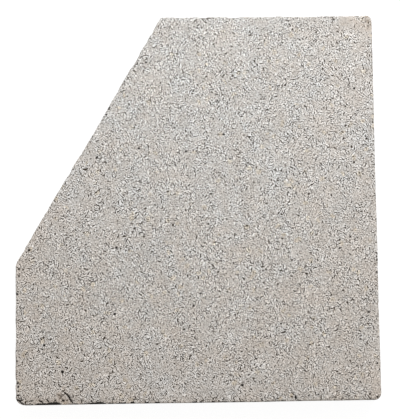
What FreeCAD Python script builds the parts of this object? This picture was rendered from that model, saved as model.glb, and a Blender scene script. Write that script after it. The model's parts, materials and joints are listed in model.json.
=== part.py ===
# Stove side firebrick: one slab of pressed vermiculite, lying on its back face.
# The outline is a rectangle whose upper left corner is sawn off at a slant.
# X runs along the foot edge, Y along the tall edge and Z through the thickness.
# The origin is the middle of the outline's box, on the back face. Millimetres.
import FreeCAD, Part
import os
import Sketcher

PARTS_FOLDER = "parts"
SAME_PLACE = 0.001      # two places nearer than this are the same one
ARRIS_SHARE = 0.8       # most of a corner's radius that the arris beside it may take

# Alias, size and meaning of each driving dimension
SIZES = [
    ("slab_width", 232, "foot edge, corner to corner"),
    ("slab_length", 250, "tall edge, corner to corner"),
    ("slab_thickness", 25, "thickness of the board"),
    ("head_edge", 138, "what the slanted cut leaves of the edge opposite the foot"),
    ("short_edge", 90, "what the slanted cut leaves of the edge opposite the tall one"),
    ("square_corner_radius", 4.2, "rubbed corners at both ends of the tall edge"),
    ("worn_corner_radius", 6.4, "more worn corner between the foot and short edges"),
    ("cut_corner_radius", 1.6, "both ends of the slanted cut"),
    ("arris_radius", 0.8, "edges round the front and back faces"),
]

# The outline's lines, in the order in which they are drawn
FOOT, TALL, HEAD, SLANT, SHORT = range(5)
START, END = 1, 2
ROOT_POINT = (-1, 1)


def make_sheet(doc):
    sheet = doc.addObject("Spreadsheet::Sheet", "sizes")
    for row, (alias, size, meaning) in enumerate(SIZES, start=1):
        sheet.set(f"A{row}", alias)
        sheet.set(f"B{row}", str(size))
        sheet.set(f"C{row}", meaning)
        sheet.setAlias(f"B{row}", alias)
    doc.recompute()
    return sheet


def rough_corners(sheet):
    right = sheet.slab_width / 2
    top = sheet.slab_length / 2
    return [
        FreeCAD.Vector(-right, -top, 0),
        FreeCAD.Vector(right, -top, 0),
        FreeCAD.Vector(right, top, 0),
        FreeCAD.Vector(right - sheet.head_edge, top, 0),
        FreeCAD.Vector(-right, sheet.short_edge - top, 0),
    ]


def draw_outline(body, sheet):
    sketch = body.newObject("Sketcher::SketchObject", "outline")
    back_plane = next(p for p in body.Origin.OriginFeatures if p.Role == "XY_Plane")
    sketch.AttachmentSupport = [(back_plane, "")]
    sketch.MapMode = "FlatFace"
    corners = rough_corners(sheet)
    following = corners[1:] + corners[:1]
    lines = [Part.LineSegment(a, b) for a, b in zip(corners, following)]
    sketch.addGeometry(lines, False)
    for line in range(len(lines)):
        joined = (line + 1) % len(lines)
        sketch.addConstraint(Sketcher.Constraint("Coincident", line, END, joined, START))
    for line in (FOOT, HEAD):
        sketch.addConstraint(Sketcher.Constraint("Horizontal", line))
    for line in (TALL, SHORT):
        sketch.addConstraint(Sketcher.Constraint("Vertical", line))
    sketch.addConstraint(Sketcher.Constraint("Symmetric", FOOT, START, TALL, END, *ROOT_POINT))
    lengths = [(FOOT, "slab_width"), (TALL, "slab_length"), (HEAD, "head_edge"), (SHORT, "short_edge")]
    for line, alias in lengths:
        number = sketch.addConstraint(Sketcher.Constraint("Distance", line, sheet.get(alias)))
        sketch.renameConstraint(number, alias)
        sketch.setExpression(f"Constraints.{alias}", f"sizes.{alias}")
    return sketch


def pad_slab(body, outline):
    slab = body.newObject("PartDesign::Pad", "slab")
    slab.Profile = outline
    slab.setExpression("Length", "sizes.slab_thickness")
    return slab


def upright_edges(shape, places):
    # Names of the edges that run through the thickness at these places of the outline
    found = []
    for number, edge in enumerate(shape.Edges, start=1):
        ends = [v.Point for v in edge.Vertexes]
        for place in places:
            offsets = [FreeCAD.Vector(p.x - place.x, p.y - place.y, 0).Length for p in ends]
            if max(offsets) < SAME_PLACE:
                found.append(f"Edge{number}")
    return found


def face_edges(shape, thickness):
    # Names of the edges that bound the back face and the front face
    found = []
    for number, edge in enumerate(shape.Edges, start=1):
        box = edge.BoundBox
        for level in (0, thickness):
            if max(abs(box.ZMin - level), abs(box.ZMax - level)) < SAME_PLACE:
                found.append(f"Edge{number}")
    return found


def round_edges(body, base, name, edges, radius):
    rounded = body.newObject("PartDesign::Fillet", name)
    rounded.Base = (base, edges)
    rounded.setExpression("Radius", radius)
    body.Document.recompute()
    return rounded


def make_firebrick(doc, sheet):
    body = doc.addObject("PartDesign::Body", "firebrick")
    body.Label = "firebrick"
    outline = draw_outline(body, sheet)
    brick = pad_slab(body, outline)
    doc.recompute()
    corner_groups = [
        ("square_corners", [(TALL, START), (TALL, END)], "square_corner_radius"),
        ("worn_corner", [(SHORT, END)], "worn_corner_radius"),
        ("cut_corners", [(SLANT, START), (SLANT, END)], "cut_corner_radius"),
    ]
    for name, ends, alias in corner_groups:
        places = [outline.getPoint(line, end) for line, end in ends]
        edges = upright_edges(brick.Shape, places)
        brick = round_edges(body, brick, name, edges, f"sizes.{alias}")
    smallest_corner = "; ".join(f"sizes.{alias}" for _, _, alias in corner_groups)
    arris = f"min(sizes.arris_radius; {ARRIS_SHARE} * min({smallest_corner}))"
    edges = face_edges(brick.Shape, sheet.slab_thickness)
    round_edges(body, brick, "arrises", edges, arris)
    return body


def check(doc, pieces):
    for item in doc.Objects:
        if {"Invalid", "Error"} & set(item.State):
            raise RuntimeError(f"{item.Label} did not build: {item.State}")
    for piece in pieces:
        if piece.Shape.isNull() or not piece.Shape.isValid() or len(piece.Shape.Solids) != 1:
            raise RuntimeError(f"{piece.Label} is not one valid solid")


def export(pieces):
    os.makedirs(PARTS_FOLDER, exist_ok=True)
    for piece in pieces:
        piece.Shape.exportStep(os.path.join(PARTS_FOLDER, f"{piece.Label}.step"))
        box = piece.Shape.optimalBoundingBox()
        print(f"{piece.Label}: {box.XLength:.2f} x {box.YLength:.2f} x {box.ZLength:.2f} mm,"
              f" {piece.Shape.Volume / 1000:.2f} cm3, {len(piece.Shape.Faces)} faces")


def main():
    doc = FreeCAD.newDocument("stove_side_firebrick")
    sheet = make_sheet(doc)
    pieces = [make_firebrick(doc, sheet)]
    doc.recompute()
    check(doc, pieces)
    export(pieces)


main()
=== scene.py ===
# Stove side firebrick: one slab of pressed vermiculite, its upper left corner sawn off at a slant.
import json
import math

import bmesh
import bpy
import numpy as np
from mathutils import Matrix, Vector, noise


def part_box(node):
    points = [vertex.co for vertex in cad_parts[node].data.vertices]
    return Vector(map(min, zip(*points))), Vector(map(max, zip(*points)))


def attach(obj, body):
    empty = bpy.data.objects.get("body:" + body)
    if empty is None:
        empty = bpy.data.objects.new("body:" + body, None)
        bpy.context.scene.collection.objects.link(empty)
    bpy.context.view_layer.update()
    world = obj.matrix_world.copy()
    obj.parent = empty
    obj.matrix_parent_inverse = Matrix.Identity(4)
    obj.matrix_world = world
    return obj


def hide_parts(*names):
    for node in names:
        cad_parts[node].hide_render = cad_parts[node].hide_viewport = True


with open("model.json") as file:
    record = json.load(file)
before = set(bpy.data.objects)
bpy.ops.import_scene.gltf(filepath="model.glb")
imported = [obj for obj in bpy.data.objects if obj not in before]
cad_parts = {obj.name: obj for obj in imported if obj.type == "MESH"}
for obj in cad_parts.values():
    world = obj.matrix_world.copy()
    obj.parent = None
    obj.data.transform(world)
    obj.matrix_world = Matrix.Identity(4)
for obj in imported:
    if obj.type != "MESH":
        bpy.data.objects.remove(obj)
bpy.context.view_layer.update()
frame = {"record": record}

mm = 0.001
samePlace = 0.1 * mm     # two places nearer than this are the same one
leastWeight = 0.001      # a point that a vertex group would move less than this share is left out of it
low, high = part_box("firebrick")
slant = next(m for m in frame["record"]["mounts"] if m["name"] == "slant_edge")
print("frame: slab box in mm", [round(v / mm, 2) for v in (*low, *high)])


# Tools that every stage uses

def pickOnly(thing):
    if bpy.context.mode != "OBJECT":
        bpy.ops.object.mode_set(mode="OBJECT")
    bpy.ops.object.select_all(action="DESELECT")
    if thing:
        thing.select_set(True)
        bpy.context.view_layer.objects.active = thing


def selectInEditMode(thing, kind, wanted):
    # wanted says of an edge or face, by its place or normal, whether it is selected
    bpy.ops.mesh.select_mode(type=kind)
    bpy.ops.mesh.select_all(action="DESELECT")
    mesh = bmesh.from_edit_mesh(thing.data)
    for part in (mesh.edges if kind == "EDGE" else mesh.faces):
        part.select_set(bool(wanted(part)))
    bmesh.update_edit_mesh(thing.data)


def applyModifier(thing, kind, **settings):
    modifier = thing.modifiers.new(kind.lower(), kind)
    for name, value in settings.items():
        setattr(modifier, name, value)
    pickOnly(thing)
    bpy.ops.object.modifier_apply(modifier=modifier.name)


def readVectors(items, name):
    flat = np.empty(len(items) * 3)
    items.foreach_get(name, flat)
    return flat.reshape(-1, 3)


def points(thing):
    return readVectors(thing.data.vertices, "co")


def faceMiddles(thing):
    return readVectors(thing.data.polygons, "center")


def smoothStep(start, end, value):
    share = np.clip((value - start) / (end - start), 0, 1)
    return share * share * (3 - 2 * share)


def paintGroup(thing, name, weights):
    group = thing.vertex_groups.new(name=name)
    for index in np.flatnonzero(weights > leastWeight):
        group.add([int(index)], float(weights[index]), "REPLACE")
    return group.name


def storeAttribute(thing, name, values):
    layer = thing.data.attributes.new(name, "FLOAT", "POINT")
    layer.data.foreach_set("value", values.astype(np.float32))


# The slab's own shape

slab = {
    "wornCorner": 6.2 * mm,      # rounding of the corner between the foot and the short edge,
    "toeCorner": 4.6 * mm,       # of the tall edge's lower end
    "squareCorner": 3.8 * mm,    # and of its upper end
    "headCorner": 1.0 * mm,      # setback of the bevel at the slant's upper end,
    "shortCorner": 2.5 * mm,     # and at its lower end
    "footSkew": 0.55 * mm,       # how far out of square the foot is sawn
    "slantTrim": 0.15 * mm,      # how far inside its line the slant is sawn
    "arris": 0.4 * mm,
    "cornerSteps": 6,
    "arrisSteps": 2,
    "skinCell": 1.2 * mm,        # cell of the even skin that the grain is pressed into
    "rimReach": 3.2 * mm,        # cells are halved once this near to the front arris,
    "halvings": 2,               # and so many times
    "arrisReach": 1.2 * mm,      # this near to it,
    "markReach": 1.3 * mm,       # or this near to a crack, pit or spall
    "tooLarge": 1.3,             # a cell is halved if it is this many times as wide as wanted
    "backShare": 0.12,           # share of the back's faces that is kept, because it lies on the floor
    "backFacing": -0.5,          # a face belongs to the back where its normal's Z is below this
    "backReach": 2 * mm,         # and it lies lower than this
}


def sawnSlant():
    outward = Vector(slant["axis"])
    return Vector(slant["pos_m"]) - slab["slantTrim"] * outward, outward


def corners():
    # foot left and right, head right, and where the slant meets the head edge and the short edge
    place, normal = sawnSlant()
    headX = place.x - (high.y - place.y) * normal.y / normal.x
    shortY = place.y - (low.x - place.x) * normal.x / normal.y
    footRight = low.y + slab["footSkew"]
    return [(low.x, low.y), (high.x, footRight), (high.x, high.y), (headX, high.y), (low.x, shortY)]


def outline():
    # foot, tall, head, slant and short edge, each from corner to corner
    ring = corners()
    return [np.array(run) for run in zip(ring, ring[1:] + ring[:1])]


def sawSlab():
    pickOnly(None)
    bpy.ops.mesh.primitive_cube_add(size=1, location=(low + high) / 2, scale=high - low)
    brick = bpy.context.object
    brick.name = brick.data.name = "vermiculite_slab"
    bpy.ops.object.transform_apply(location=True, rotation=True, scale=True)
    bpy.ops.object.mode_set(mode="EDIT")
    footTurn = (slab["footSkew"], low.x - high.x, 0)
    for place, outward in (sawnSlant(), (low, footTurn)):
        bpy.ops.mesh.select_all(action="SELECT")
        bpy.ops.mesh.bisect(plane_co=place, plane_no=outward, use_fill=True, clear_outer=True)
    setbacks = ("wornCorner", "toeCorner", "squareCorner", "headCorner", "shortCorner")
    for (x, y), setback in zip(corners(), setbacks):
        selectInEditMode(brick, "EDGE", lambda e: (
            all(math.dist(v.co.xy, (x, y)) < samePlace for v in e.verts)))
        bpy.ops.mesh.bevel(offset=slab[setback], segments=slab["cornerSteps"], affect="EDGES")
    for level in (low.z, high.z):
        selectInEditMode(brick, "EDGE", lambda e: all(abs(v.co.z - level) < samePlace for v in e.verts))
        bpy.ops.mesh.bevel(offset=slab["arris"], segments=slab["arrisSteps"], affect="EDGES")
    bpy.ops.object.mode_set(mode="OBJECT")
    return brick


def halveCells(brick, near):
    bpy.ops.object.mode_set(mode="EDIT")
    selectInEditMode(brick, "FACE", lambda f: near[f.index])
    bpy.ops.mesh.subdivide(number_cuts=1, ngon=False)
    bpy.ops.object.mode_set(mode="OBJECT")


def wantedCells(middles):
    toArris = distanceToArris(middles)
    finest = (toArris < slab["arrisReach"]) | (distanceToMarks(middles) < slab["markReach"])
    times = np.where(finest, slab["halvings"], np.where(toArris < slab["rimReach"], 1, 0))
    return slab["skinCell"] / 2 ** times


def layEvenSkin(brick):
    pickOnly(brick)
    bpy.ops.object.duplicate()
    pattern = bpy.context.object
    applyModifier(brick, "REMESH", mode="VOXEL", voxel_size=slab["skinCell"])
    for _ in range(slab["halvings"]):
        areas = np.array([face.area for face in brick.data.polygons])
        halveCells(brick, np.sqrt(areas) > slab["tooLarge"] * wantedCells(faceMiddles(brick)))
    applyModifier(brick, "SHRINKWRAP", target=pattern)     # brings back the arris that the cells cut off
    bpy.data.objects.remove(pattern)


# Distances on the slab, for wear and damage

def distanceToPath(places, path):
    # least distance from each place to a chain of straight runs, and how far along it that is, 0 to 1
    path = np.array(path)
    runs = np.linalg.norm(np.diff(path, axis=0), axis=1)
    best = np.full(len(places), np.inf)
    along = np.zeros(len(places))
    for number, (start, end) in enumerate(zip(path[:-1], path[1:])):
        share = np.clip((places - start) @ (end - start) / runs[number] ** 2, 0, 1)
        away = np.linalg.norm(places - (start + share[:, None] * (end - start)), axis=1)
        nearer = away < best
        best[nearer] = away[nearer]
        along[nearer] = ((runs[:number].sum() + share * runs[number]) / runs.sum())[nearer]
    return best, along


def distanceToArris(places):
    # least distance to the edges that bound the front face
    rim = np.min([distanceToPath(places[:, :2], run)[0] for run in outline()], axis=0)
    return np.hypot(rim, high.z - places[:, 2])


def distanceToMarks(places):
    # least distance to the cracks, pits and spalls on the front face
    best = np.full(len(places), np.inf)
    for path, halfWidth, dark in cracks:
        best = np.minimum(best, distanceToPath(places, onFront(path))[0])
    for x, y, radius, dark in pits:
        best = np.minimum(best, np.linalg.norm(places - onFront([(x, y)]), axis=1) - radius * mm / 2)
    for start, end, back, sootAndShade in spalls:
        foot = [(start * mm, low.y, high.z), (end * mm, low.y, high.z)]
        best = np.minimum(best, distanceToPath(places, foot)[0] - back * mm)
    return best


# Wear and damage

wear = {
    "rubReach": 2.6 * mm,        # how far from the arris its rubbing shows,
    "breakReach": 5.2 * mm,      # and how far from it chips and spalls may reach
    "waveDepth": 0.04 * mm,      # slow rise and fall of the pressed faces
    "waveSize": 16 * mm,
    "flakeDepth": 0.03 * mm,     # flakes that stand a little proud
    "flakeSize": 2.2 * mm,
    "crumbleDepth": 0.18 * mm,   # fine crumbling all along the arris
    "crumbleSize": 1.6 * mm,
    "jagSize": 0.9 * mm,         # grain of broken faces and crack walls,
    "jag": 0.45,                 # and how much it changes their depth
    "chipsPerMm": (0.40, 0.32, 0.36, 0.40, 0.40),     # on the foot, tall, head, slant and short edge
    "chipScale": (0.9, 1.0, 1.3, 1.5, 1.5),           # of their depth, likewise
    "chipSeed": 5,
    "chipDepth": (0.08 * mm, 0.85 * mm),
    "chipRarity": 3,             # the higher, the fewer of the chips are deep
    "chipLength": (1.2, 4.5),    # half of a chip's length, in its depths,
    "chipEnd": 0.5 * mm,         # and what is added to it
    "chipTilt": (6, 40),         # degrees that a chip's broken face leans back
    "spallTilt": 45,
    "chipBlunt": 2,              # the higher, the more suddenly a broken face ends
    "spallBlunt": 4,
    "spallFade": (-0.15 * mm, 0.05 * mm),   # soot and painted shade come in between these heights over a spall's face
    "settle": 0.5,               # how far each point of the arris moves towards its neighbours,
    "settleSteps": 2,            # this many times, so that broken faces do not fold
    "crackDepth": 0.7,           # of half its width
    "crackTip": 0.45,            # width of a crack's thin end, in that of its wide one
    "crackFloor": 0.2,           # share of the width that is at full depth
    "pitDepth": 0.7,             # of its radius
    "pitFloor": 0.35,            # share of the radius that is at full depth
    "patchFade": 0.15,           # share of a stain's reach where it begins to fade
}

# All in mm. Edges are numbered foot, tall, head, slant and short, and run anticlockwise
hollows = [         # edge, middle along it, half its length and depth, where the saw wandered
    (0, 70, 40, 0.1), (0, 190, 30, 0.2), (0, 222, 26, 0.2), (1, 60, 30, 0.2), (1, 150, 40, 0.2),
    (2, 43, 12, 0.45), (2, 75, 7, 0.5), (2, 93, 5, 0.3), (2, 124, 5, 0.4), (3, 60, 5, 0.3),
    (3, 89, 22, 0.6), (4, 24, 12, 0.2), (4, 46, 9, 0.35),
]
spalls = [          # stretch of the foot arris in X, how far it is broken back, and how much soot and painted shade its broken face takes
    (-112.0, -103.0, 0.6, 0.8), (-104.6, -94.0, 1.1, 1.0), (-97.0, -86.6, 1.65, 1.0),
    (-87.0, -81.0, 0.45, 0.45), (-80.6, -75.6, 0.75, 0.9), (-73.8, -66.0, 1.05, 1.0),
    (-68.6, -58.0, 1.3, 1.0), (-58.2, -53.0, 0.7, 0.9), (-52.0, -45.2, 0.85, 0.9),
    (-43.3, -40.2, 1.3, 1.0), (-38.0, -35.8, 0.6, 0.7), (-34.4, -31.4, 1.2, 1.0),
    (-28.2, -24.4, 1.1, 1.0), (-24.0, -10.0, 0.3, 0.4), (-5.0, -0.6, 0.8, 0.85), (0.2, 2.4, 0.9, 0.9),
    (4.0, 7.5, 0.6, 0.7), (8.0, 10.2, 0.9, 0.85), (12.6, 20.0, 0.7, 0.7), (20.8, 31.0, 0.75, 0.7),
    (32.0, 37.0, 0.6, 0.4), (39.6, 51.8, 0.75, 0.65), (62.4, 65.8, 0.8, 0.9), (72.5, 76.5, 0.5, 0.6),
    (81.6, 85.0, 0.7, 0.5), (87.8, 90.2, 0.7, 0.45), (93.3, 97.2, 0.7, 0.5), (99.6, 102.2, 0.8, 0.4),
    (103.5, 113.8, 0.9, 0.4),
]

# On the front face, from its middle
cracks = [          # points from the thin end to the wide one, half the width there, and how dark it is painted: painted shade deep in the crack
    ([(-87.4, -115.2), (-86.4, -116.2), (-85.0, -117.1)], 0.5, 0.3),
    ([(-85.2, -117.0), (-84.0, -118.1), (-83.1, -118.7), (-82.2, -119.5)], 1.0, 0.8),
    ([(-79.6, -124.4), (-79.9, -123.3), (-81.1, -122.0), (-81.6, -120.8), (-82.3, -119.5)], 1.1, 0.9),
    ([(-79.2, -122.3), (-80.8, -122.0)], 0.7, 0.6),
    ([(-90.0, -118.0), (-88.6, -118.9), (-87.2, -119.4)], 0.8, 0.5),
    ([(-85.2, -118.6), (-86.7, -119.7), (-87.5, -120.9)], 1.0, 0.5),
    ([(-85.0, -122.5), (-85.8, -122.3)], 1.25, 1.0),
    ([(-107.7, -122.8), (-106.6, -122.5), (-105.3, -122.2)], 0.75, 0.8),
    ([(-104.1, -121.9), (-105.4, -122.2)], 0.6, 0.6),
    ([(-101.0, -122.1), (-100.0, -122.6), (-99.2, -122.9)], 0.95, 1.0),
    ([(-98.4, -123.3), (-99.3, -122.9)], 0.8, 0.7),
    ([(-96.4, -121.5), (-95.8, -122.0), (-95.1, -122.7)], 0.9, 0.9),
    ([(-115.8, -118.9), (-113.6, -118.8)], 0.8, 0.8),
    ([(-112.4, -119.6), (-112.2, -121.4)], 0.8, 0.9),
    ([(-115.6, -121.0), (-114.2, -121.5), (-112.8, -122.2)], 1.0, 1.0),
    ([(-113.5, -122.4), (-112.0, -123.5), (-110.6, -124.4)], 0.9, 0.9),
    ([(39.3, -122.5), (40.3, -123.8)], 0.75, 0.8),
    ([(58.6, -118.7), (59.6, -119.3)], 0.7, 0.6),
    ([(61.4, -121.0), (61.5, -122.2)], 1.3, 1.0),
    ([(91.9, -122.6), (90.5, -123.5)], 0.65, 0.7),
    ([(104.0, -117.6), (106.0, -119.4)], 0.6, 0.6),
    ([(104.2, -121.6), (105.0, -123.2)], 0.6, 0.7),
    ([(87.2, -118.0), (89.4, -118.2)], 0.5, 0.6),
    ([(-102.4, -110.0), (-101.0, -111.6)], 0.55, 0.5),
]
pits = [            # X, Y, radius, and how dark it is painted: a dark speck with painted shade in its hollow
    (-86.1, -104.2, 1.35, 1.0), (-97.7, -87.3, 1.15, 1.0), (-114.5, -110.9, 1.15, 1.0),
    (-114.1, -113.3, 0.9, 0.9), (-114.0, -116.2, 0.9, 0.7), (-83.3, -122.2, 0.8, 0.7),
    (113.4, -122.5, 0.95, 0.85), (27.7, -114.0, 1.2, 1.0), (50.0, -122.6, 0.8, 0.7),
    (-15.7, -123.3, 0.9, 0.8), (-90.7, -122.1, 0.85, 0.8), (-74.2, -122.6, 0.8, 0.6),
    (-67.8, -122.9, 0.8, 0.9), (-54.1, -121.8, 0.9, 0.75), (-40.4, -122.1, 0.7, 0.6),
    (69.7, -121.1, 0.85, 0.7), (75.9, -120.4, 0.9, 0.6), (108.6, -120.5, 1.0, 0.8),
    (113.8, -101.3, 0.9, 0.6), (109.2, -68.5, 0.95, 0.7), (91.7, -27.4, 1.0, 0.8),
    (-113.8, -38.7, 1.15, 0.65), (-113.7, -43.1, 1.0, 0.7), (-107.3, -26.5, 1.1, 1.0),
    (-51.5, -25.6, 1.1, 1.0), (-52.9, -68.0, 1.1, 1.0), (-2.5, -63.3, 1.05, 0.9),
    (2.1, -55.5, 0.95, 0.75), (-36.6, 38.6, 1.05, 0.9), (-63.7, 32.9, 1.1, 0.95),
    (-6.3, 36.3, 1.0, 0.85), (18.2, 47.1, 0.95, 0.8), (-31.4, 95.1, 1.0, 0.8), (-55.5, 65.4, 1.0, 0.85),
    (-57.6, 61.0, 0.95, 0.65), (103.4, 76.6, 1.1, 0.9), (112.2, 121.0, 0.9, 0.4),
    (113.4, 117.8, 1.0, 0.5), (115.2, -105.1, 0.85, 0.8), (115.0, -43.2, 0.85, 0.8),
    (114.8, 100.0, 0.8, 0.6), (115.1, 59.6, 0.75, 0.55), (-45.7, 81.1, 0.8, 0.6),
    (-106.6, -21.4, 0.8, 0.65), (-91.2, 5.6, 0.7, 0.5), (-114.9, -54.6, 1.0, 1.0),
    (-114.9, -58.5, 0.8, 0.7), (-115.4, -94.7, 0.7, 0.6), (-114.9, -97.2, 0.85, 0.8),
    (-115.4, -105.4, 0.8, 0.7), (51.9, 124.0, 0.75, 0.4),
]
stains = [          # points, reach to either side and strength
    ([(-114, -125), (114, -124.5)], 7.0, 0.34),
    ([(-114, -125), (-30, -125)], 9.0, 0.42),
    ([(116, 121), (116, 84)], 1.5, 0.5),
    ([(112, 125), (116, 118)], 4.5, 1.0),
    ([(98, 120), (112, 117)], 6.0, 0.45),
    ([(-88, -119), (-84, -123)], 3.6, 0.90),
    ([(-86, -114), (-81, -121)], 2.0, 0.60),
    ([(-115, -119), (-110, -124)], 3.5, 0.35),
    ([(-116, -120), (-116, -98)], 1.6, 0.35),
    ([(-72, -123.5), (-58, -123)], 3.0, 0.30),
    ([(54, -119), (60, -122)], 3.5, 0.55),
]
smears = [          # likewise, where the grain is rubbed smooth
    ([(98, 121), (112, 117)], 9.0, 0.75),
    ([(-88, -119), (-84, -123)], 3.5, 0.5),
]


def onFront(path):
    return np.array([(x * mm, y * mm, high.z) for x, y in path])


def pressRelief(brick, name, kind, size, depth, group=""):
    texture = bpy.data.textures.new(name, kind)
    texture.noise_scale = size
    applyModifier(brick, "DISPLACE", texture=texture, texture_coords="LOCAL", direction="NORMAL",
                  mid_level=0, strength=-depth, vertex_group=group)


def breakBack(places, run, middle, halfLength, depth, tilt, jag=0, blunt=wear["chipBlunt"]):
    # presses what stands outside a broken face on to it, and tells how far outside it stood
    start, end = run
    forward = (end - start) / np.linalg.norm(end - start)
    face = np.array([forward[1] * math.cos(tilt), -forward[0] * math.cos(tilt), math.sin(tilt)])
    fromStart = places - (*start, high.z)
    share = np.abs((fromStart[:, :2] @ forward - middle) / halfLength)
    bite = depth * np.clip(1 - share ** blunt, 0, 1) * (1 + wear["jag"] * jag)
    outside = np.where(share < 1, fromStart @ face + bite, -np.inf)
    places -= np.maximum(outside, 0)[:, None] * face
    return outside


def chipArris(places, jag):
    random = np.random.default_rng(wear["chipSeed"])
    shallow, deep = wear["chipDepth"]
    for run, perMm, scale in zip(outline(), wear["chipsPerMm"], wear["chipScale"]):
        length = np.linalg.norm(run[1] - run[0])
        for _ in range(int(length / mm * perMm)):
            depth = scale * (shallow + (deep - shallow) * random.random() ** wear["chipRarity"])
            halfLength = depth * random.uniform(*wear["chipLength"]) + wear["chipEnd"]
            tilt = math.radians(random.uniform(*wear["chipTilt"]))
            breakBack(places, run, length * random.random(), halfLength, depth, tilt, jag)


def shove(brick, moves):
    for axis, amounts in zip("XYZ", moves.T):
        for sign in (1, -1):
            most = max(0, (sign * amounts).max())
            if most:
                group = paintGroup(brick, f"shove {axis} {sign}", np.maximum(sign * amounts, 0) / most)
                applyModifier(brick, "DISPLACE", direction=axis, mid_level=0, strength=sign * most,
                              vertex_group=group)


def spread(places, patches):
    # strength of the strongest patch at each place, fading out to its reach
    shown = np.zeros(len(places))
    for path, reach, strength in patches:
        away = distanceToPath(places, onFront(path))[0]
        fade = smoothStep(wear["patchFade"] * reach * mm, reach * mm, away)
        shown = np.maximum(shown, strength * (1 - fade))
    return shown


def breakEdges(places, rim, jag):
    # where the points go as the edges wander, chip and break, and how much soot and painted shade each takes
    worn = places.copy()
    broken = np.zeros(len(places))
    runs = outline()
    for number, middle, halfLength, depth in hollows:
        breakBack(worn, runs[number], middle * mm, halfLength * mm, depth * mm, tilt=0)
    edge = worn[rim]
    chipArris(edge, jag[rim])
    tilt = math.radians(wear["spallTilt"])
    for start, end, back, sootAndShade in spalls:
        outside = breakBack(edge, runs[0], (start + end) / 2 * mm - low.x, (end - start) / 2 * mm,
                            back * mm * math.cos(tilt), tilt, jag[rim], wear["spallBlunt"])
        broken[rim] = np.maximum(broken[rim], sootAndShade * smoothStep(*wear["spallFade"], outside))
    worn[rim] = edge
    return worn, broken


def openMarks(places, jag, worn, broken):
    # sinks the cracks and pits and paints them dark, as painted shade in their hollows
    for path, halfWidth, dark in cracks:
        away, along = distanceToPath(places, onFront(path))
        width = halfWidth * mm * (wear["crackTip"] + (1 - wear["crackTip"]) * along) * (1 + wear["jag"] * jag)
        crack = 1 - smoothStep(wear["crackFloor"] * width, width, away)
        worn[:, 2] = np.minimum(worn[:, 2], places[:, 2] - wear["crackDepth"] * halfWidth * mm * crack)
        np.maximum(broken, dark * crack, out=broken)
    for x, y, radius, dark in pits:
        away = np.linalg.norm(places - onFront([(x, y)]), axis=1)
        pit = 1 - smoothStep(wear["pitFloor"] * radius * mm, radius * mm, away)
        worn[:, 2] = np.minimum(worn[:, 2], places[:, 2] - wear["pitDepth"] * radius * mm * pit)
        np.maximum(broken, dark * pit, out=broken)


def wearSlab(brick):
    places = points(brick)
    toArris = distanceToArris(places)
    rub = 1 - smoothStep(0, wear["rubReach"], toArris)
    rim = np.flatnonzero(toArris < wear["breakReach"])
    jag = np.zeros(len(places))
    jag[rim] = [noise.noise(Vector(place) / wear["jagSize"]) for place in places[rim]]
    worn, broken = breakEdges(places, rim, jag)
    openMarks(places, jag, worn, broken)

    pressRelief(brick, "press wave", "CLOUDS", wear["waveSize"], wear["waveDepth"])
    pressRelief(brick, "flake relief", "VORONOI", wear["flakeSize"], wear["flakeDepth"])
    arris = paintGroup(brick, "arris", rub)
    pressRelief(brick, "crumbled arris", "CLOUDS", wear["crumbleSize"], wear["crumbleDepth"], arris)
    moves = worn - places
    moves[:, 2] = np.minimum(moves[:, 2], high.z - points(brick)[:, 2])     # nothing stands above the front
    shove(brick, moves)
    applyModifier(brick, "SMOOTH", factor=wear["settle"], iterations=wear["settleSteps"],
                  vertex_group=arris)
    storeAttribute(brick, "rub", rub)
    storeAttribute(brick, "broken", broken)
    storeAttribute(brick, "stained", spread(places, stains))
    storeAttribute(brick, "smeared", spread(places, smears))


def thinBack(brick):
    pickOnly(brick)
    bpy.ops.object.mode_set(mode="EDIT")
    selectInEditMode(brick, "FACE", lambda f: (
        f.normal.z < slab["backFacing"] and f.calc_center_median().z < slab["backReach"]))
    bpy.ops.mesh.decimate(ratio=slab["backShare"])
    bpy.ops.object.mode_set(mode="OBJECT")
    bpy.ops.object.shade_smooth()


# Map for baking: the front face, the back face beside it, and the five sides in strips above

bake = {
    "texels": 1024,              # along each side of the baked picture
    "margin": 8,                 # texels between the islands
    "frontCell": 0.335 * mm,     # what one texel spans on the front,
    "backCell": 0.80 * mm,       # on the back
    "sideCell": 0.36 * mm,       # and on the sides
    "steep": 0.5,                # a face belongs to a side where its normal's Z is below this,
    "sideReach": 2.2 * mm,       # unless it lies this far inside the outline
    "strips": [(0, 4), (1,), (2, 3)],      # edges that share a strip
}


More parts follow.
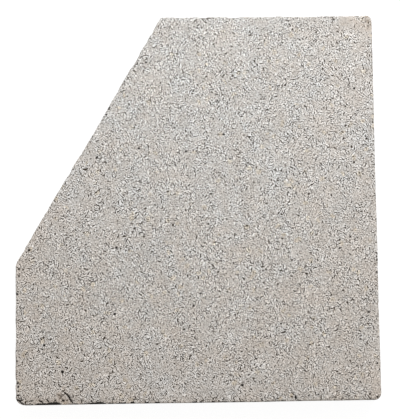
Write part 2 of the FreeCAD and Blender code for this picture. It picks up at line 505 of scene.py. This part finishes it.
def unwrapSlab(brick):
    mesh = brick.data
    pointOf = np.empty(len(mesh.loops), int)
    mesh.loops.foreach_get("vertex_index", pointOf)
    faceSizes = np.empty(len(mesh.polygons), int)
    mesh.polygons.foreach_get("loop_total", faceSizes)
    places = points(brick)[pointOf]
    middles = faceMiddles(brick)
    upness = readVectors(mesh.polygons, "normal")[:, 2]
    runs = outline()
    toRuns = np.array([distanceToPath(middles[:, :2], run)[0] for run in runs])
    inside = toRuns.min(axis=0) > bake["sideReach"]
    upper = middles[:, 2] > (low.z + high.z) / 2
    front = (upness > bake["steep"]) | (inside & upper)
    back = (upness < -bake["steep"]) | (inside & ~upper)
    edgeOf = np.where(front | back, -1, toRuns.argmin(axis=0))

    margin = bake["margin"]
    width, height = (high - low).xy / bake["frontCell"]
    across, along, up = (places - low).T
    texels = np.empty((len(pointOf), 2))
    shown = np.repeat(front, faceSizes)
    texels[shown] = margin + np.column_stack([across, along])[shown] / bake["frontCell"]
    shown = np.repeat(back, faceSizes)
    mirrored = np.column_stack([high.x - low.x - across, along])[shown] / bake["backCell"]
    texels[shown] = mirrored + (2 * margin + width, margin)
    stripTop = 2 * margin + height
    for strip in bake["strips"]:
        left = margin
        for edge in strip:
            start, end = runs[edge]
            length = np.linalg.norm(end - start)
            shown = np.repeat(edgeOf == edge, faceSizes)
            run = (places[shown, :2] - start) @ (end - start) / length
            texels[shown] = np.column_stack([run, up[shown]]) / bake["sideCell"] + (left, stripTop)
            left += length / bake["sideCell"] + 2 * margin
        stripTop += (high.z - low.z) / bake["sideCell"] + margin
    layer = mesh.uv_layers.new(name="OFBake")
    layer.data.foreach_set("uv", (texels / bake["texels"]).ravel().astype(np.float32))


# Shader maths

class Wire:
    # a shader socket that takes part in sums
    def __init__(self, bench, socket):
        self.bench, self.socket = bench, socket

    def maths(self, operation, first, second):
        return self.bench.node("ShaderNodeMath", {"operation": operation}, {0: first, 1: second})["Value"]

    def __add__(self, other):
        return self.maths("ADD", self, other)

    def __radd__(self, other):
        return self.maths("ADD", other, self)

    def __sub__(self, other):
        return self.maths("SUBTRACT", self, other)

    def __rsub__(self, other):
        return self.maths("SUBTRACT", other, self)

    def __mul__(self, other):
        return self.maths("MULTIPLY", self, other)

    def __rmul__(self, other):
        return self.maths("MULTIPLY", other, self)


class Bench:
    # the nodes of one material or of the world
    def __init__(self, owner):
        owner.use_nodes = True
        self.tree = owner.node_tree
        self.tree.nodes.clear()

    def node(self, kind, settings={}, sockets={}):
        made = self.tree.nodes.new(kind)
        for name, value in settings.items():
            if name == "stops":
                ramp = made.color_ramp
                for place, colour in value[1:-1]:
                    ramp.elements.new(place)
                for element, (place, colour) in zip(ramp.elements, value):
                    element.position, element.color = place, (*colour, 1)
            else:
                setattr(made, name, value)
        for name, value in sockets.items():
            named = [s for s in made.inputs if s.enabled and s.name == name]
            target = named[0] if named else made.inputs[name]
            if isinstance(value, Wire):
                self.tree.links.new(value.socket, target)
            elif target.type == "RGBA":
                target.default_value = (*value, 1)
            else:
                target.default_value = value
        return {s.name: Wire(self, s) for s in made.outputs if s.enabled}

    def step(self, value, start, end):
        return self.node("ShaderNodeMapRange", {"interpolation_type": "SMOOTHSTEP"},
                         {"Value": value, "From Min": start, "From Max": end})["Result"]

    def noise(self, vector, scale, detail=0.0, roughness=0.5):
        return self.node("ShaderNodeTexNoise", {}, {
            "Vector": vector, "Scale": scale, "Detail": detail, "Roughness": roughness})

    def absolute(self, value):
        return self.node("ShaderNodeMath", {"operation": "ABSOLUTE"}, {0: value})["Value"]

    def cells(self, vector, scale):
        return self.node("ShaderNodeTexVoronoi", {}, {"Vector": vector, "Scale": scale})

    def vector(self, operation, first, second):
        return self.node("ShaderNodeVectorMath", {"operation": operation}, {0: first, 1: second})["Vector"]

    def split(self, colour):
        return self.node("ShaderNodeSeparateColor", {}, {"Color": colour})

    def mix(self, share, first, second, blend="MIX"):
        return self.node("ShaderNodeMix", {"data_type": "RGBA", "blend_type": blend},
                         {"Factor": share, "A": first, "B": second})["Result"]


grain = {
    # Pattern
    "perMetre": (1000, 1000, 1700),     # pattern units for each metre: flakes lie flat, so they are thin in Z
    "slew": 33,                         # degrees that the noise's rows are turned away from the edges
    "pushes": 0.8,                      # pushes for each pattern unit that bend straight borders,
    "stir": 1.3,                        # and how far they go

    # Flakes that lie flat, with worms over them
    "flakes": 0.42,                     # for each pattern unit, as pores, slivers and the like below
    "streaks": (0.78, 2.5, 1.6),        # along a flake, across it and through it
    "streakDepth": 0.9,
    "groove": (-0.16, -0.06),           # troughs of the streaks that are dark
    "grooveDepth": 0.12,
    "worms": 1.3,
    "wormDepth": 1.15,
    "punch": (0.55, 3.0),               # share of faint grain that shows, and how fast it grows with strength

    # Pores and pale flecks
    "pores": 0.28,
    "speckEdge": (0.11, 0.19, 0.34),    # each fades between the first two, and a pore's rim after them
    "poreShare": (0.45, 0.75),          # chances above these are pores, the first ones faint,
    "fleckShare": (0.15, 0.35),         # Flakes that stand on edge and show as thin strokes, with painted shade in the slit and painted highlight on its edges
    "poreDepth": 1.3,
    "haloDepth": 0.3,                   # of the pale rim round a pore
    "fleckDepth": 1.0,

    # Flakes that stand on edge and show as thin strokes
    "slivers": 0.62,
    "sliverLean": (1.2, 1.2, 6.28),     # whole range of their turns about each axis, in radians
    "sliverReach": (0.4, 1.25),         # half their length, where they begin to fade and where they end
    "sliverHalf": (0.25, 0.50),         # half the width of the narrowest and the widest slit
    "sliverShare": (0.35, 1.0),         # how strongly each shows, by chance,
    "gather": 0.5,                      # and how much more often in lively patches than in calm ones
    "slitDepth": 3.4,
    "edgePlace": 1.45,                  # of the pale edges, a painted highlight, to either side of the slit, in its half widths
    "edgeDepth": 1.8,

    # Patches
    "calms": 0.10,
    "calmDetail": 1.0,
    "calmEdge": (0.35, 0.65),           # the noise goes from calm to lively between these values
    "lively": (0.60, 0.60),             # contrast of the calm patches, and what the lively ones add
    "lift": 0.07,                       # how much paler the lively ones are between their strokes,
    "rubLift": 0.05,                    # and the rubbed arrises
    "clouds": 0.06,
    "cloudDetail": 2.0,
    "cloudDepth": 0.11,

    # Shine and relief
    "roughness": 0.92,
    "glints": (0.86, 0.95),             # which of the flakes shine
    "glintShine": 0.35,                 # roughness that a shining flake loses
    "specular": 0.3,
    "bump": 0.5,
    "bumpHeight": 0.4 * mm,

    # Colours and tints
    "dark": (0.051, 0.039, 0.026),
    "body": (0.579, 0.548, 0.516),
    "pale": (0.93, 0.917, 0.90),
    "tints": 0.035,
    "tintDetail": 4.0,
    "tintRoughness": 0.85,
    "tintEdge": (0.2, 0.8),             # the noise goes from cool to warm between these values
    "cool": (0.964, 1.005, 1.036),      # what a tint takes from each colour or adds to it
    "warm": (1.032, 0.995, 0.959),
    "gilt": (0.965, 0.99),              # which of the flakes look gilded
    "gold": (1.03, 0.985, 0.89),

    # Heat, grime, and soot that also paints shade into the breaks
    "scorch": (1.0, 0.955, 0.915),      # what the heat takes from each colour
    "footHeat": 0.65,                   # how far it shows at the foot,
    "footHeatEnd": 70 * mm,             # fading out at this height,
    "sideHeat": 0.35,                   # and at both sides,
    "sideHeatStart": 20 * mm,           # from this far off the middle
    "grime": (0.70, 0.63, 0.56),
    "patches": 0.35,                    # of grime
    "patchDetail": 1.0,
    "patchEdge": (0.40, 0.62),
    "rubGrime": 0.15,                   # how much of the grime a rubbed arris takes,
    "stainLeast": 0.4,                  # and the least that a stain has between its patches
    # near black: soot and painted shade for spalls, cracks and pits
    "sootAndShade": (0.013, 0.010, 0.007),
    "sootAndShadeStreak": 0.7,                  # how much the streaks fray it
    "sootAndShadeEdge": (0.1, 0.85),
}


def pressedVermiculite():
    material = bpy.data.materials.new("pressed_vermiculite")
    bench = Bench(material)
    middle = 0.5     # of the ramp, and of what a noise or a chance gives
    middles = (middle,) * 3
    place = bench.node("ShaderNodeTexCoord")["Object"]
    fromFront = bench.vector("SUBTRACT", place, (0, 0, high.z))
    slewed = bench.node("ShaderNodeVectorRotate", {"rotation_type": "Z_AXIS"},
                        {"Vector": fromFront, "Angle": math.radians(grain["slew"])})["Vector"]
    flat = bench.vector("MULTIPLY", slewed, grain["perMetre"])
    push = bench.vector("SUBTRACT", bench.noise(flat, grain["pushes"])["Color"], middles)
    stirred = bench.vector("ADD", flat, bench.vector("MULTIPLY", push, (grain["stir"],) * 3))

    # Each flake lies its own way, and its streaks follow it
    flake = bench.split(bench.cells(stirred, grain["flakes"])["Color"])
    turned = bench.node("ShaderNodeVectorRotate", {"rotation_type": "Z_AXIS"},
                        {"Vector": flat, "Angle": 2 * math.pi * flake["Red"]})["Vector"]
    streak = bench.noise(bench.vector("MULTIPLY", turned, grain["streaks"]), 1.0)["Fac"] - middle
    groove = 1 - bench.step(streak, *grain["groove"])
    worm = bench.noise(flat, grain["worms"])["Fac"] - middle

    pores = bench.cells(stirred, grain["pores"])
    poreChance = bench.split(pores["Color"])["Red"]
    inner, outer, rim = grain["speckEdge"]
    speck = 1 - bench.step(pores["Distance"], inner, outer)
    halo = bench.step(pores["Distance"], inner, outer) * (1 - bench.step(pores["Distance"], outer, rim))
    pore = speck * grain["poreDepth"] - halo * grain["haloDepth"]
    pore = pore * bench.step(poreChance, *grain["poreShare"])
    fleck = speck * (1 - bench.step(poreChance, *grain["fleckShare"]))

    # Calm and lively patches
    calm, added = grain["lively"]
    stirs = bench.step(bench.noise(flat, grain["calms"], grain["calmDetail"])["Fac"], *grain["calmEdge"])

    # Thin flakes on edge, each a dark slit between two pale edges: the flake's own dark colour, with painted
    # shade in the slit and painted highlight on its edges, as of lit relief
    slivers = bench.cells(stirred, grain["slivers"])
    fromMiddle = bench.vector("SUBTRACT", stirred, slivers["Position"])
    lean = bench.vector("SUBTRACT", slivers["Color"], middles)
    leaf = bench.node("ShaderNodeSeparateXYZ", {}, {"Vector": bench.node(
        "ShaderNodeVectorRotate", {"rotation_type": "EULER_XYZ"},
        {"Vector": fromMiddle, "Rotation": bench.vector("MULTIPLY", lean, grain["sliverLean"])})["Vector"]})
    lot = bench.split(slivers["Color"])
    chance = lot["Green"] + grain["gather"] * (stirs - middle)
    reached = 1 - bench.step(bench.absolute(leaf["Y"]), *grain["sliverReach"])
    upright = reached * bench.step(chance, *grain["sliverShare"])
    narrow, wide = grain["sliverHalf"]
    half = narrow + (wide - narrow) * (lot["Red"] * lot["Red"])
    across = bench.absolute(leaf["X"])
    slit = upright * (1 - bench.step(across, 0, half))
    edge = upright * (1 - bench.step(bench.absolute(across - grain["edgePlace"] * half), 0, half))

    clouds = bench.noise(flat, grain["clouds"], grain["cloudDetail"])["Fac"] - middle
    lively = calm + added * stirs
    fine = grain["streakDepth"] * streak + grain["wormDepth"] * worm - grain["grooveDepth"] * groove
    faint, punch = grain["punch"]
    marks = fine * (faint + punch * bench.absolute(fine)) - grain["slitDepth"] * slit
    marks = marks + grain["edgeDepth"] * edge - pore + grain["fleckDepth"] * fleck
    smeared = bench.node("ShaderNodeAttribute", {"attribute_name": "smeared"})["Fac"]
    marks = lively * marks * (1 - smeared)
    rub = bench.node("ShaderNodeAttribute", {"attribute_name": "rub"})["Fac"]
    lift = grain["lift"] * (stirs - middle) + grain["rubLift"] * rub
    tone = middle + marks + grain["cloudDepth"] * clouds + lift

    stops = [(0, grain["dark"]), (middle, grain["body"]), (1, grain["pale"])]
    colour = bench.node("ShaderNodeValToRGB", {"stops": stops}, {"Fac": tone})["Color"]
    tints = bench.noise(flat, grain["tints"], grain["tintDetail"], grain["tintRoughness"])["Fac"]
    tint = bench.mix(bench.step(tints, *grain["tintEdge"]), grain["cool"], grain["warm"])
    tint = bench.mix(bench.step(flake["Blue"], *grain["gilt"]), tint, grain["gold"])
    colour = bench.mix(1.0, colour, tint, "MULTIPLY")
    side = bench.node("ShaderNodeSeparateXYZ", {}, {"Vector": place})
    footHeat = 1 - bench.step(side["Y"], low.y, grain["footHeatEnd"])
    sideHeat = bench.step(bench.absolute(side["X"]), grain["sideHeatStart"], high.x)
    heat = grain["footHeat"] * footHeat + grain["sideHeat"] * sideHeat
    colour = bench.mix(heat, colour, grain["scorch"], "MULTIPLY")
    patchy = bench.step(bench.noise(flat, grain["patches"], grain["patchDetail"])["Fac"], *grain["patchEdge"])
    stained = bench.node("ShaderNodeAttribute", {"attribute_name": "stained"})["Fac"]
    stain = stained * (grain["stainLeast"] + (1 - grain["stainLeast"]) * patchy)
    dirt = grain["rubGrime"] * (rub * patchy) + stain
    colour = bench.mix(dirt, colour, grain["grime"], "MULTIPLY")
    # soot and painted shade on the spalled arris, and painted shade in cracks and pits
    broken = bench.node("ShaderNodeAttribute", {"attribute_name": "broken"})["Fac"]
    frayed = broken + grain["sootAndShadeStreak"] * streak
    colour = bench.mix(bench.step(frayed, *grain["sootAndShadeEdge"]), colour, grain["sootAndShade"])

    bump = bench.node("ShaderNodeBump", {}, {
        "Strength": grain["bump"], "Distance": grain["bumpHeight"], "Height": marks})["Normal"]
    roughness = grain["roughness"] - grain["glintShine"] * bench.step(flake["Green"], *grain["glints"])
    surface = bench.node("ShaderNodeBsdfPrincipled", {}, {
        "Base Color": colour, "Roughness": roughness, "Specular IOR Level": grain["specular"],
        "Normal": bump})
    bench.node("ShaderNodeOutputMaterial", {}, {"Surface": surface["BSDF"]})
    return material


# Studio: pale floor, soft light, camera at the photograph's place

studio = {
    "floorSize": 24.0,
    "floorDrop": 0.1 * mm,       # keeps the floor clear of the slab's back
    "floorColour": (0.9, 0.9, 0.9),
    "whiteShare": 0.75,          # how much of the floor's look is its own white glow to the camera,
    "glow": 1.2,                 # which leaves only the contact shadow below white
    "airColour": (1, 1, 1),
    "ambient": 0.46,             # strength of the light from all round
    "keyPlace": (0.14, 0.50, 0.56),
    "keySize": 0.55,
    "keyPower": 5.3,
}

camera = {
    "lens": 137.69,                                   # mm, on a 36 mm long side
    "place": (-11.82 * mm, -127.07 * mm, 1046.0 * mm),
    "turn": (7.0203, -0.7056, -0.7228),               # degrees about X, Y and Z
    "farthest": 50,                                   # metres that it sees
}


def seenDirectly(bench):
    # 1 for what the eye, a gloss or a glass sees, and 0 for the light that falls on things
    path = bench.node("ShaderNodeLightPath")
    both = bench.node("ShaderNodeMath", {"operation": "MAXIMUM"},
                      {0: path["Is Camera Ray"], 1: path["Is Glossy Ray"]})["Value"]
    return bench.node("ShaderNodeMath", {"operation": "MAXIMUM"},
                      {0: both, 1: path["Is Transmission Ray"]})["Value"]


def layFloor():
    pickOnly(None)
    bpy.ops.mesh.primitive_plane_add(size=studio["floorSize"], location=(0, 0, low.z - studio["floorDrop"]))
    floor = bpy.context.object
    floor.name = "studio_floor"
    material = bpy.data.materials.new("studio_white")
    bench = Bench(material)
    lit = bench.node("ShaderNodeBsdfDiffuse", {}, {"Color": studio["floorColour"]})["BSDF"]
    white = bench.node("ShaderNodeEmission", {}, {"Strength": studio["glow"]})["Emission"]
    share = studio["whiteShare"] * seenDirectly(bench)
    shown = bench.node("ShaderNodeMixShader", {}, {0: share, 1: lit, 2: white})
    bench.node("ShaderNodeOutputMaterial", {}, {"Surface": shown["Shader"]})
    floor.data.materials.append(material)


def setLight():
    world = bpy.data.worlds.new("studio_air")
    bpy.context.scene.world = world
    bench = Bench(world)
    direct = seenDirectly(bench)
    air = bench.node("ShaderNodeBackground", {}, {
        "Color": studio["airColour"], "Strength": studio["ambient"] + (1 - studio["ambient"]) * direct})
    bench.node("ShaderNodeOutputWorld", {}, {"Surface": air["Background"]})
    keyPlace = Vector(studio["keyPlace"])
    aim = (Vector((0, 0, high.z)) - keyPlace).to_track_quat("-Z", "Y").to_euler()
    bpy.ops.object.light_add(type="AREA", location=keyPlace, rotation=aim)
    key = bpy.context.object
    key.name = "key_softbox"
    key.data.size = studio["keySize"]
    key.data.energy = studio["keyPower"]


def setCamera():
    bpy.ops.object.camera_add(location=camera["place"], rotation=[math.radians(a) for a in camera["turn"]])
    eye = bpy.context.object
    eye.data.lens = camera["lens"]
    eye.data.clip_end = camera["farthest"]
    bpy.context.scene.camera = eye


brick = sawSlab()
layEvenSkin(brick)
print("slab sawn and skinned:", len(brick.data.polygons), "faces")
wearSlab(brick)
thinBack(brick)
unwrapSlab(brick)
print("slab worn:", sum(len(p.vertices) - 2 for p in brick.data.polygons), "triangles")
brick.data.materials.append(pressedVermiculite())
print("slab finished:", brick.data.materials[0].name)

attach(brick, "root")
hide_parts("firebrick")
layFloor()
setLight()
setCamera()
bpy.context.scene.view_settings.view_transform = "Standard"
print("studio set")
